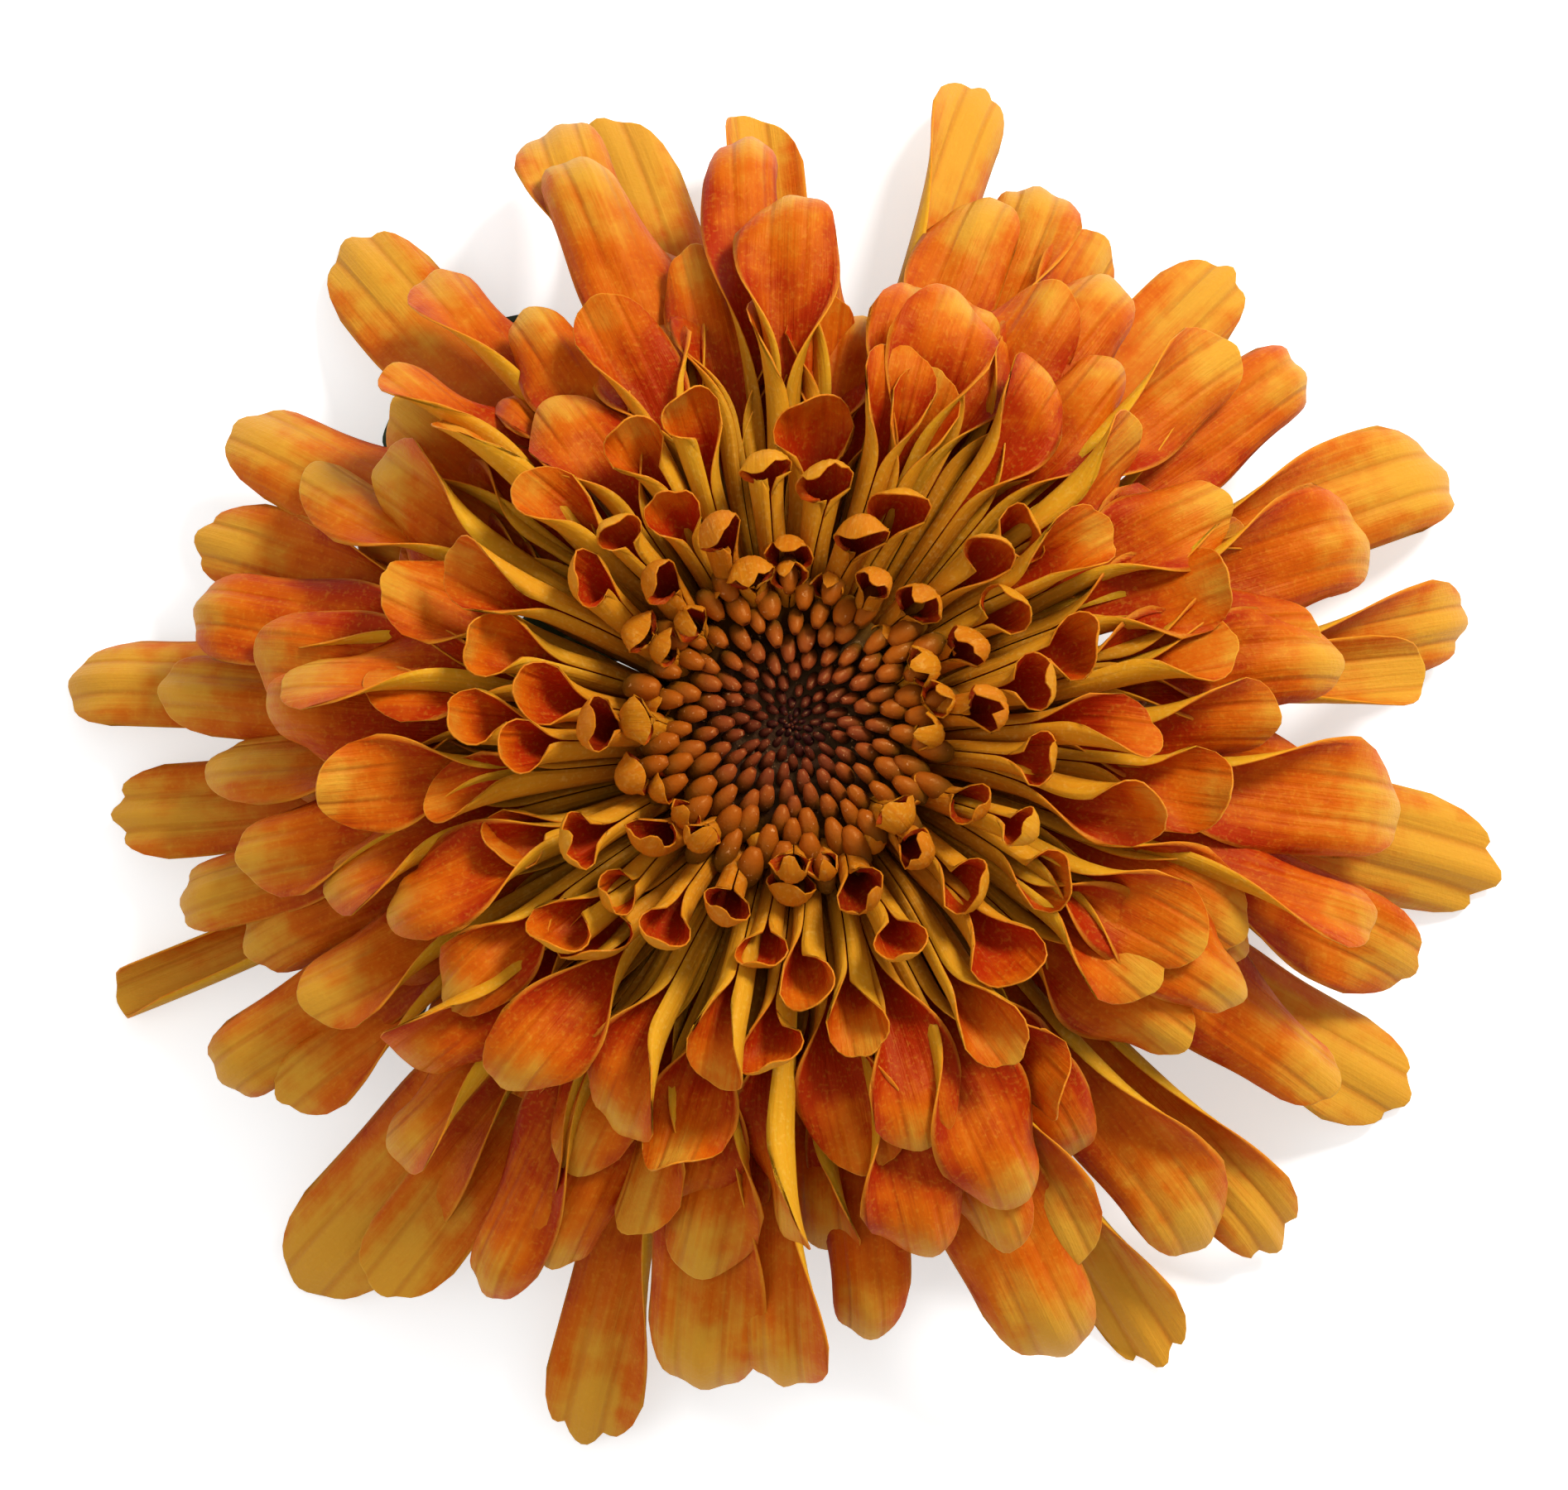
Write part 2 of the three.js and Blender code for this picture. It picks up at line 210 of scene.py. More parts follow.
LEAF_REST = 0.42 * MM  # how high the upper side of a leaf that lies flat is
LEAF_START = 2.9 * MM  # where the stalk leaves the stem, from the axis
STALK_HALF_WIDTH = 0.9 * MM
STALK_CLIMB = 4.9 * MM
STALK_WIDENS = (0.22, 0.46)  # the shares of the length where the stalk turns into the blade
STALK_FALLS = (0.02, 0.4)  # the shares of the length where it comes down to the surface
LOBES = 3.4  # about how many pairs of lobes, if the blade were as long as the whole leaf
LOBE_DEPTH = 0.6
LOBE_FLOOR = 0.38  # the width between the lobes; this and the depths are shares of the half width
LOBE_SWEEP = 0.16  # how far the lobes point forward
TEETH = 21
TOOTH_DEPTH = 0.05
LEAF_WAVE = 0.5 * MM
MIDRIB_HEIGHT = 0.3 * MM
MIDRIB_WIDTH = 0.07  # a share of the half width


# ---- Small helpers ----
def smooth(low, high, value):
    """An even turn from 0 where the value is low to 1 where it is high. low may be the greater."""
    t = min(max((value - low) / (high - low), 0.0), 1.0)
    return t * t * (3 - 2 * t)


def mix(a, b, t):
    return a + (b - a) * t


def new_piece(name, bm, materials):
    """Makes a mesh object of a bmesh, with smooth faces, at the origin."""
    mesh = bpy.data.meshes.new(name)
    bm.to_mesh(mesh)
    bm.free()
    for material in materials:
        mesh.materials.append(material)
    mesh.shade_smooth()
    piece = bpy.data.objects.new(name, mesh)
    bpy.context.scene.collection.objects.link(piece)
    return piece


def thicken(piece, thickness, offset, side_material=0, rim_material=0):
    """Gives a piece of one layer its thickness. The materials count on from the first."""
    wall = piece.modifiers.new("thickness", "SOLIDIFY")
    wall.thickness = thickness
    wall.offset = offset
    wall.material_offset = side_material
    wall.material_offset_rim = rim_material


def stand_for(piece, node):
    """The piece stands for a node of the frame: it joins the root body and the node's part is hidden."""
    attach(piece, "root")
    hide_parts(node)


# ---- Materials ----
class Finish:
    """A material in the making. A value given to its methods is a number, a colour or a socket."""

    def __init__(self, name, roughness, specular=0.4, tint=(1.0, 1.0, 1.0), subsurface=0.0):
        self.material = bpy.data.materials.new(name)
        self.material.use_nodes = True
        self.nodes = self.material.node_tree.nodes
        self.links = self.material.node_tree.links
        self.inputs = self.nodes["Principled BSDF"].inputs
        self.inputs["Roughness"].default_value = roughness
        self.inputs["Specular IOR Level"].default_value = specular
        self.inputs["Specular Tint"].default_value = (*tint, 1.0)
        self.inputs["Subsurface Weight"].default_value = subsurface
        self.inputs["Subsurface Radius"].default_value = (1.0, 0.32, 0.1)
        self.inputs["Subsurface Scale"].default_value = 1.2 * MM

    def feed(self, socket, value):
        if isinstance(value, bpy.types.NodeSocket):
            self.links.new(value, socket)
        elif isinstance(value, tuple):
            socket.default_value = (*value, 1.0)
        else:
            socket.default_value = value

    def colour(self, value):
        self.feed(self.inputs["Base Color"], value)

    def maths(self, operation, *values):
        made = self.nodes.new("ShaderNodeMath")
        made.operation = operation
        for socket, value in zip(made.inputs, values):
            self.feed(socket, value)
        return made.outputs[0]

    def scaled(self, value, factor, plus=0.0):
        return self.maths("MULTIPLY_ADD", value, factor, plus)

    def total(self, *values):
        result = values[0]
        for value in values[1:]:
            result = self.maths("ADD", result, value)
        return result

    def ramp(self, value, low, high):
        """An even turn from 0 where the value is low to 1 where it is high. low may be the greater."""
        made = self.nodes.new("ShaderNodeMapRange")
        made.interpolation_type = "SMOOTHSTEP"
        self.feed(made.inputs["Value"], value)
        made.inputs["From Min"].default_value = min(low, high)
        made.inputs["From Max"].default_value = max(low, high)
        made.inputs["To Min"].default_value = 0.0 if low < high else 1.0
        made.inputs["To Max"].default_value = 1.0 if low < high else 0.0
        return made.outputs["Result"]

    def blend(self, share, first, second):
        """A colour between two."""
        made = self.nodes.new("ShaderNodeMix")
        made.data_type = "RGBA"
        factor, first_colour, second_colour = (made.inputs[k] for k in (0, 6, 7))
        self.feed(factor, share)
        self.feed(first_colour, first)
        self.feed(second_colour, second)
        return made.outputs[2]

    def attribute(self, name):
        made = self.nodes.new("ShaderNodeAttribute")
        made.attribute_name = name
        return made.outputs["Fac"]

    def object_place(self):
        return self.nodes.new("ShaderNodeTexCoord").outputs["Object"]

    def parts(self, vector):
        made = self.nodes.new("ShaderNodeSeparateXYZ")
        self.feed(made.inputs["Vector"], vector)
        return made.outputs

    def grain(self, vector, scale, detail=3.0, roughness=0.55):
        made = self.nodes.new("ShaderNodeTexNoise")
        made.inputs["Scale"].default_value = scale
        made.inputs["Detail"].default_value = detail
        made.inputs["Roughness"].default_value = roughness
        self.feed(made.inputs["Vector"], vector)
        return made.outputs["Fac"]

    def strap_place(self):
        """Where a point is on a strap: from 0 to 1 along it, and from 0 to 1 from side to side."""
        place = self.nodes.new("ShaderNodeUVMap")
        place.uv_map = "strap"
        along, side, _ = self.parts(place.outputs["UV"])
        return along, side

    def from_middle(self, side):
        """0 on the middle line of a strap and 1 at its margins."""
        return self.maths("ABSOLUTE", self.scaled(side, 2.0, -1.0))

    def streaks(self, along, side, scale=1.0, detail=4.0, roughness=0.6):
        """Noise that is drawn out along a strap, and is another on each strap."""
        made = self.nodes.new("ShaderNodeCombineXYZ")
        self.feed(made.inputs["X"], self.scaled(along, 2.2))
        self.feed(made.inputs["Y"], self.scaled(side, 22.0))
        self.feed(made.inputs["Z"], self.scaled(self.attribute("seed"), 40.0))
        return self.grain(made.outputs["Vector"], scale, detail, roughness)

    def bump(self, height, strength, distance):
        made = self.nodes.new("ShaderNodeBump")
        made.inputs["Strength"].default_value = strength
        made.inputs["Distance"].default_value = distance
        self.feed(made.inputs["Height"], height)
        self.feed(self.inputs["Normal"], made.outputs["Normal"])


GOLDEN_SHEEN = (1.0, 0.6, 0.18)
FACE_DEEP_RED_AND_SHADE = (0.36, 0.018, 0.001)
FACE_MIDDLE = (0.56, 0.100, 0.002)
FACE_GOLD = (0.63, 0.285, 0.024)
RIM_GOLD = (0.78, 0.40, 0.030)
RIM_ORANGE = (0.70, 0.24, 0.012)
BACK_GOLD = (0.68, 0.33, 0.013)
BACK_OLIVE_AND_SHADE = (0.25, 0.095, 0.003)
BACK_AMBER = (0.64, 0.26, 0.008)
CELL_GLINT_GOLD = (0.9, 0.62, 0.16)
YOUNG_ORANGE = (0.50, 0.11, 0.004)
YOUNG_BACK_OLIVE_AND_SHADE = (0.20, 0.08, 0.003)
YOUNG_BACK_AMBER = (0.56, 0.20, 0.006)
YOUNG_BACK_RED = (0.46, 0.11, 0.004)
YOUNG_FACE_DEEP_RED_AND_SHADE = (0.22, 0.012, 0.001)
YOUNG_FACE_RED = (0.44, 0.05, 0.002)
BUD_MAROON = (0.030, 0.005, 0.006)
BUD_RUSSET = (0.24, 0.040, 0.010)
BUD_ORANGE = (0.34, 0.070, 0.003)
BUD_FOOT_SHADE = (0.018, 0.004, 0.004)
BUD_FOOT_OLIVE_AND_SHADE = (0.13, 0.05, 0.003)
BUD_GLAND = (0.80, 0.40, 0.16)
BUD_TIP_SHADE = (0.10, 0.012, 0.004)
STEM_DARK = (0.10, 0.17, 0.045)
STEM_PALE = (0.20, 0.30, 0.09)
PITH = (0.56, 0.58, 0.34)
BRACT_DARK = (0.10, 0.15, 0.035)
BRACT_PALE = (0.21, 0.27, 0.08)
BRACT_EDGE = (0.36, 0.26, 0.11)
LEAF_UPPER = ((0.018, 0.045, 0.022), (0.045, 0.085, 0.045), (0.10, 0.15, 0.07))
LEAF_UNDER = ((0.09, 0.14, 0.08), (0.13, 0.19, 0.11), (0.20, 0.26, 0.14))
FLOOR_WHITE = (0.93, 0.93, 0.925)


def petal_face(name, deep_red_and_shade, middle, gold, rim):
    """The upper side of a ray floret: deep at its base, partly as painted shade, lighter to its tip, with
    veins and two grooves, painted shade in the grooves, painted glints on its cells and a painted highlight
    along the crown of its tip.
    """
    finish = Finish(name, roughness=0.45, specular=0.2, tint=GOLDEN_SHEEN, subsurface=0.15)
    along, side = finish.strap_place()
    across = finish.from_middle(side)
    streaks = finish.streaks(along, side, roughness=0.62)
    place = finish.object_place()
    mottle = finish.grain(place, scale=330.0, detail=2.0)
    cells = finish.grain(place, scale=2600.0, detail=1.0)

    # lighter with age and towards the tip, deeper at the base partly as painted shade of the florets over
    # it, with a painted highlight along the crown of the tip, deeper towards the margins partly as their own
    # redder colour and partly as painted shade
    crown_highlight = finish.maths("MULTIPLY", finish.ramp(across, 0.7, 0.0), finish.ramp(along, 0.55, 0.85))
    age_and_painted_light = finish.total(
        finish.scaled(streaks, 0.5, -0.25),
        finish.attribute("tone"),
        finish.scaled(mottle, 0.8, -0.4),
        finish.scaled(finish.ramp(along, 0.3, 0.92), 0.62, -0.42),
        finish.scaled(finish.ramp(across, 0.35, 0.95), -0.34),
        finish.scaled(crown_highlight, 0.26))
    colour = finish.blend(finish.ramp(age_and_painted_light, 0.0, 0.55), deep_red_and_shade, middle)
    colour = finish.blend(finish.ramp(age_and_painted_light, 0.45, 1.05), colour, gold)

    # painted shade darkens the two grooves, which the bump also dents
    from_groove = finish.maths("ABSOLUTE", finish.maths("SUBTRACT", across, 0.34))
    groove = finish.maths("MULTIPLY", finish.ramp(from_groove, 0.09, 0.0), finish.ramp(along, 0.4, 0.75))
    colour = finish.blend(finish.scaled(groove, 0.25), colour, deep_red_and_shade)
    # painted glints: the fine cells lightened towards the rim colour
    colour = finish.blend(finish.scaled(finish.ramp(cells, 0.5, 0.8), 0.16), colour, rim)
    margin = finish.maths("MAXIMUM", finish.ramp(across, 0.93, 1.0), finish.ramp(along, 0.96, 1.0))
    finish.colour(finish.blend(finish.scaled(margin, 0.3), colour, rim))

    height = finish.scaled(groove, -0.9, plus=streaks)
    finish.bump(finish.scaled(cells, 0.35, plus=height), strength=0.55, distance=0.25 * MM)
    return finish.material


def petal_back(name, base, body, streak):
    """The underside of a ray floret, which shows on the rolled tube and margins."""
    finish = Finish(name, roughness=0.48, specular=0.2, tint=GOLDEN_SHEEN, subsurface=0.12)
    along, side = finish.strap_place()
    streaks = finish.streaks(along, side)
    cells = finish.grain(finish.object_place(), scale=2400.0, detail=1.0)
    # olive-brown towards the base, partly the floret's own colour and partly painted shade
    colour = finish.blend(finish.ramp(along, 0.15, 0.62), base, body)
    colour = finish.blend(finish.scaled(finish.ramp(streaks, 0.42, 0.7), 0.55), colour, streak)
    young = finish.ramp(finish.attribute("tone"), 0.62, 0.1)
    colour = finish.blend(finish.scaled(young, 0.5), colour, YOUNG_ORANGE)
    # painted glints: the fine cells lightened towards pale gold
    finish.colour(finish.blend(finish.scaled(finish.ramp(cells, 0.5, 0.8), 0.15), colour, CELL_GLINT_GOLD))
    finish.bump(finish.scaled(cells, 0.35, plus=streaks), strength=0.5, distance=0.22 * MM)
    return finish.material


def bud_material():
    """Buds: orange-brown heads at the rim, dark maroon in the hollow, with tiny pale glands, darker towards
    their feet as painted shade and with a dot of painted shade in each open tip.
    """
    finish = Finish("disc_buds", roughness=0.42, specular=0.3, tint=GOLDEN_SHEEN, subsurface=0.05)
    head = finish.attribute("head")
    place = finish.object_place()
    cells = finish.grain(place, scale=2200.0, detail=2.0)
    mottle = finish.grain(place, scale=500.0, detail=2.0)
    ripeness = finish.total(finish.attribute("ripe"), finish.scaled(mottle, 0.3, -0.15))
    top = finish.blend(finish.ramp(ripeness, 0.24, 0.7), BUD_MAROON, BUD_RUSSET)
    top = finish.blend(finish.ramp(ripeness, 0.55, 0.9), top, BUD_ORANGE)
    # painted shade: the feet of the buds darker than their heads, near black in the hollow and dark olive at
    # the rim
    foot = finish.blend(finish.ramp(ripeness, 0.3, 0.8), BUD_FOOT_SHADE, BUD_FOOT_OLIVE_AND_SHADE)
    colour = finish.blend(finish.ramp(head, 0.3, 0.85), foot, top)
    colour = finish.blend(finish.scaled(finish.ramp(cells, 0.66, 0.74), 0.4), colour, BUD_GLAND)
    # painted shade: a dark dot inside each bud's open tip
    finish.colour(finish.blend(finish.scaled(finish.ramp(head, 0.93, 1.0), 0.8), colour, BUD_TIP_SHADE))
    finish.bump(cells, strength=0.4, distance=0.15 * MM)
    return finish.material


def stem_material():
    """Speckled green, and pale pith at the cut."""
    finish = Finish("stem_green", roughness=0.5, specular=0.35, subsurface=0.05)
    place = finish.object_place()
    speckle = finish.grain(place, scale=900.0)
    colour = finish.blend(finish.ramp(speckle, 0.35, 0.7), STEM_DARK, STEM_PALE)
    cut = finish.ramp(finish.parts(place)["Z"], 0.25 * MM, 0.0)
    finish.colour(finish.blend(cut, colour, PITH))
    finish.bump(speckle, strength=0.4, distance=0.2 * MM)
    return finish.material


def bract_material():
    """Streaked green with papery brown edges."""
    finish = Finish("bract_green", roughness=0.55, specular=0.3, subsurface=0.05)
    along, side = finish.strap_place()
    streaks = finish.streaks(along, side, scale=1.2, detail=3.0, roughness=0.55)
    colour = finish.blend(finish.ramp(streaks, 0.35, 0.7), BRACT_DARK, BRACT_PALE)
    across = finish.from_middle(side)
    papery = finish.maths("MAXIMUM", finish.ramp(across, 0.6, 0.95), finish.ramp(along, 0.85, 1.0))
    finish.colour(finish.blend(papery, colour, BRACT_EDGE))
    finish.bump(streaks, strength=0.4, distance=0.2 * MM)
    return finish.material


def leaf_material(name, dark, light, vein):
    """One side of a leaf: mottled green with a midrib and side veins that are paler."""
    finish = Finish(name, roughness=0.5, specular=0.35, subsurface=0.04)
    along, side = finish.strap_place()
    across = finish.from_middle(side)
    place = finish.object_place()
    mottle = finish.grain(place, scale=260.0, detail=4.0)
    pores = finish.grain(place, scale=1500.0, detail=2.0)
    colour = finish.blend(finish.ramp(mottle, 0.35, 0.7), dark, light)
    slanted = finish.scaled(across, -0.16, plus=along)
    repeated = finish.maths("PINGPONG", finish.scaled(slanted, 7.0), 0.5)
    side_vein = finish.scaled(finish.ramp(repeated, 0.07, 0.0), 0.6)
    veins = finish.maths("MAXIMUM", finish.ramp(across, 0.06, 0.02), side_vein)
    finish.colour(finish.blend(veins, colour, vein))
    finish.bump(finish.scaled(pores, 0.4, plus=finish.scaled(veins, -0.7)), strength=0.5, distance=0.3 * MM)
    return finish.material


# ---- Ray florets ----
def tips_of(node):
    """The florets of a frame node: the azimuth, base, tip and width of each, read from its mesh."""
    points = [vertex.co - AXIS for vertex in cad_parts[node].data.vertices]
    nearest = min(p.xy.length for p in points)
    roots = [p for p in points if p.xy.length < nearest + ROOT_DEPTH]
    base = Vector((sum(p.xy.length for p in roots), sum(p.z for p in roots))) / len(roots)
    furthest = max(p.xy.length for p in points)
    left = [p for p in points if p.xy.length > TIP_ZONE * furthest]
    florets = []
    while left:
        outermost = max(left, key=lambda p: p.xy.length)
        heading = outermost.xy.normalized()
        near = [p for p in left if abs(heading.angle_signed(p.xy)) < TIP_WINDOW]
        end = [p for p in near if p.xy.length > outermost.xy.length - TIP_DEPTH]
        middle = sum(end, Vector()) / len(end)
        side = Vector((-middle.y, middle.x)).normalized()
        width = 2 * max(abs(p.xy.dot(side)) for p in points if p.xy.dot(middle.xy) > 0)
        tip = Vector((middle.xy.length, middle.z))
        florets.append((math.atan2(middle.y, middle.x), base, tip, width))
        left = [p for p in left if abs(middle.xy.angle_signed(p.xy)) >= TIP_WINDOW]
    return sorted(florets, key=lambda floret: floret[0])


def curve_point(ends, t):
    a, b, c, d = ends
    s = 1 - t
    return a * s ** 3 + b * 3 * s * s * t + c * 3 * s * t * t + d * t ** 3


def curve_slope(ends, t):
    a, b, c, d = ends
    s = 1 - t
    return (b - a) * s * s + (c - b) * 2 * s * t + (d - c) * t * t


def section(v, dish, lip):
    """A point at v across a blade of half width 1, turned by dish and, at the margins, by lip as well."""
    sideways = rise = 0.0
    steps = 7
    for k in range(steps):
        s = v * (k + 0.5) / steps
        turn = dish * s + lip * s * abs(s) ** 3
        sideways += math.cos(turn) * v / steps
        rise += math.sin(turn) * v / steps
    return sideways, rise


def roll_for(visible, flat):
    """The dish in radians that makes a blade of the flat width look as wide as visible."""
    dish = 0.1
    while dish < MOST_ROLL and math.sin(dish) / dish > visible / flat:
        dish += 0.05
    return dish


def own_traits(row, visible, draw):
    """The values of one floret: those of its row, each with a stray. Lengths are in metres."""
    own = SimpleNamespace()
    own.flat = row["flat"] * MM * draw.uniform(*FLAT_RANGE)
    own.dish = row["dish"] * draw.uniform(*DISH_RANGE)
    own.reach = draw.uniform(*REACH_RANGE)
    own.turn_aside = math.radians(draw.uniform(-AZIMUTH_STRAY, AZIMUTH_STRAY))
    narrow = 0
    if not row["flat"]:  # a floret with a node of its own keeps that node's width, reach and heading
        own.flat = max(visible * BLADE_SPARE, LEAST_BLADE)
        rolled = roll_for(visible, own.flat)
        narrow = smooth(*ROLLED, rolled)
        own.dish = mix(own.dish, rolled, narrow)
        own.reach = 1
        own.turn_aside = 0
    own.lip = row["lip"] * draw.uniform(*LIP_RANGE)
    own.lags = [row["lag"] * draw.uniform(*PROMPT_RANGE), row["lag"] * draw.uniform(*LATE_RANGE)]
    if draw.random() < LEFT_FIRST:
        own.lags.reverse()
    curl = draw.uniform(*row["curl"])
    own.curl = math.copysign(max(abs(curl) * (1 - narrow), LEAST_CURL), curl)
    own.notch = row["notch"] * MM * draw.uniform(*NOTCH_RANGE) * (1 - narrow)
    own.notch_at = draw.uniform(*NOTCH_PLACES)
    own.twist = math.radians(row["twist"]) * draw.uniform(*TWIST_RANGE)
    own.sway = row["sway"] * MM * draw.uniform(-1, 1)
    own.lift = row["height"] * MM * draw.uniform(-1, 1)
    own.pleat = row["pleat"] * MM * draw.uniform(*PLEAT_RANGE)
    own.tone = draw.uniform(*row["tone"])
    own.seed = draw.random()
    own.opens = (row["opens"][0] + draw.uniform(*OPENS_RANGE), row["opens"][1])
    own.rise = math.radians(row["rise"])
    own.fall = math.radians(row["fall"] + draw.uniform(-FALL_STRAY, FALL_STRAY))
    own.hooked = row["hook"] * own.flat
    return own


def find_spine(own, base, tip):
    """Works out a floret's middle line: the four points of its curve, its length and where it curls."""
    rise, fall, curl = own.rise, own.fall, own.curl
    tip = Vector((tip.x * own.reach, max(tip.y + own.lift, LOWEST_TIP)))
    if curl < 0:  # the turned-down tip still ends where the frame has it
        tip.x += own.hooked * (1 - (math.sin(fall + curl) - math.sin(fall)) / curl)
        tip.y += own.hooked * (math.sin(fall) - (math.cos(fall) - math.cos(fall + curl)) / curl)
    own.length = (tip - base).length
    pull = SPINE_PULL * own.length
    own.ends = (base, base + pull * Vector((math.cos(rise), math.sin(rise))),
                tip - pull * Vector((math.cos(fall), math.sin(fall))), tip)
    own.curls_at = max(1 - own.hooked / own.length, EARLIEST_CURL)


def spine_frame(own, t):
    """The point and the normal at t of a floret's middle line, whose tip curls by an arc."""
    middle = curve_point(own.ends, min(t, own.curls_at))
    along = curve_slope(own.ends, min(t, own.curls_at)).normalized()
    normal = Vector((-along.y, along.x))
    if t <= own.curls_at:
        return middle, normal
    turn = own.curl * (t - own.curls_at) / (1 - own.curls_at)
    radius = (1 - own.curls_at) * own.length / own.curl
    middle = middle + along * (radius * math.sin(turn)) + normal * (radius * (1 - math.cos(turn)))
    return middle, normal * math.cos(turn) - along * math.sin(turn)


def floret_point(own, u, v):
    """Where a point of the flat strap goes, u of the way along it and v from -1 to 1 across it."""
    rounded = ROUND_LENGTH * own.flat / own.length * (1 - math.sqrt(1 - ROUNDNESS * v * v))
    cut = own.notch / own.length * math.exp(-((abs(v) - own.notch_at) / NOTCH_WIDTH) ** 2)
    t = (1 - (1 - u) ** TIP_CROWDING) * (1 - rounded - cut)

    late = own.lags[v > 0]
    opened = smooth(own.opens[0] + LAG_START * late, own.opens[1] + LAG_END * late, t)
    narrower = mix(CLAW_WIDTH, WAIST_WIDTH, smooth(*CLAW_WIDENS, t))
    half = 0.5 * own.flat * mix(narrower, 1, smooth(*BLADE_WIDENS, t))
    sideways, above = section(v, mix(TUBE_TURN, own.dish, opened), own.lip * opened)
    above += RUFFLE * math.sin(9 * t + 40 * own.seed) * v * opened
    creases = own.pleat * opened * math.cos(math.pi * v / GROOVE_PLACE) * (1 - abs(v) ** 3)

    middle, normal = spine_frame(own, t)
    normal = Vector((normal.x, 0, normal.y))
    side = Vector((0, 1, 0))
    angle = own.twist * smooth(*TWISTS, t)
    leaning = side * math.cos(angle) + normal * math.sin(angle)
    upward = normal * math.cos(angle) - side * math.sin(angle)
    place = Vector((middle.x, own.sway * t * t, middle.y))
    place += leaning * (half * sideways) + upward * (half * above + creases)
    place += normal * noise.noise(Vector((4 * t, 2 * v, 90 * own.seed))) * UNEVEN * opened
    place.z = max(place.z, LOWEST_BLADE)
    return place


def add_floret(bm, row, azimuth, base, tip, visible, draw):
    """Adds one ray floret: a strap rolled into a tube that opens into a spoon with curled margins."""
    own = own_traits(row, visible, draw)
    find_spine(own, base, tip)
    turned = Matrix.Rotation(azimuth + own.turn_aside, 4, "Z")
    tone_layer = bm.verts.layers.float["tone"]
    seed_layer = bm.verts.layers.float["seed"]
    made = bmesh.ops.create_grid(bm, x_segments=ALONG, y_segments=ACROSS, size=0.5, calc_uvs=True)
    for vertex in made["verts"]:
        vertex[tone_layer] = own.tone
        vertex[seed_layer] = own.seed
        vertex.co = AXIS + turned @ floret_point(own, vertex.co.x + 0.5, 2 * vertex.co.y)


def start_straps():
    """A bmesh for straps, with the layers that their materials read."""
    bm = bmesh.new()
    bm.loops.layers.uv.new("strap")
    bm.verts.layers.float.new("tone")
    bm.verts.layers.float.new("seed")
    return bm


def make_row(node, row, materials):
    """The florets that stand for one frame node. The materials are those of the face, back and rim."""
    draw = random.Random(node)
    bm = start_straps()
    florets = tips_of(node)
    for azimuth, base, tip, visible in florets:
        add_floret(bm, row, azimuth, base, tip, visible, draw)
    if node in UNDERLAID:
        half_step = math.pi / len(florets)
        for azimuth, base, tip, visible in florets:
            lower = Vector((tip.x * UNDER_REACH, tip.y - UNDER_DROP))
            add_floret(bm, row, azimuth + half_step, base, lower, visible, draw)
    piece = new_piece(f"{node}_petals", bm, materials)
    thicken(piece, FLORET_THICKNESS, offset=-1, side_material=1, rim_material=2)
    stand_for(piece, node)


def make_florets():
    rim = petal_back("petal_rim", BACK_GOLD, RIM_ORANGE, FACE_MIDDLE)
    grown = (petal_face("petal_face", FACE_DEEP_RED_AND_SHADE, FACE_MIDDLE, FACE_GOLD, RIM_GOLD),
             petal_back("petal_back", BACK_OLIVE_AND_SHADE, BACK_GOLD, BACK_AMBER), rim)
    slots = {"guard_floret": "outer_petal", "outer_floret": "outer_petal", "back_floret": "petal"}
    for row_name, slot in slots.items():
        for number in range(1, 16):
            make_row(f"{row_name}_{number:02d}", ROWS[row_name], grown)
    for number in range(1, 6):
        make_row(f"whorl_{number}", ROWS[f"whorl_{number}"], grown)

    young_back = petal_back("young_petal_back", YOUNG_BACK_OLIVE_AND_SHADE, YOUNG_BACK_AMBER, YOUNG_BACK_RED)
    young_face = petal_face("young_petal_face", YOUNG_FACE_DEEP_RED_AND_SHADE, YOUNG_FACE_RED, FACE_MIDDLE, BACK_GOLD)
    for row_name in ("young_florets_outer", "young_florets_inner"):
        make_row(row_name, ROWS[row_name], (young_face, young_back, young_back))


# ---- The disc of unopened florets ----
def bud_point(up, across, width, tall, bend):
    """Where a point of a ball goes on a bud that leans inwards, up being 0 at its foot and 1 at its head."""
    swell = width * math.sin(math.pi * min(up ** 0.8, 0.97)) ** 0.5 * (0.75 + 0.35 * up)
    if not 0.01 < up < 0.995:  # the poles of the ball stay on the bud's middle line
        swell = 0
    around = across / max(across.length, 0.001) * swell
    turn = bend * min(up, 0.94 if up > 0.99 else 1)  # and the pole at the head is drawn in a little
    arc = tall / bend
    inwards = arc * (1 - math.cos(turn)) - around.x * math.cos(turn)
    return Vector((-inwards, around.y, (arc + around.x) * math.sin(turn)))


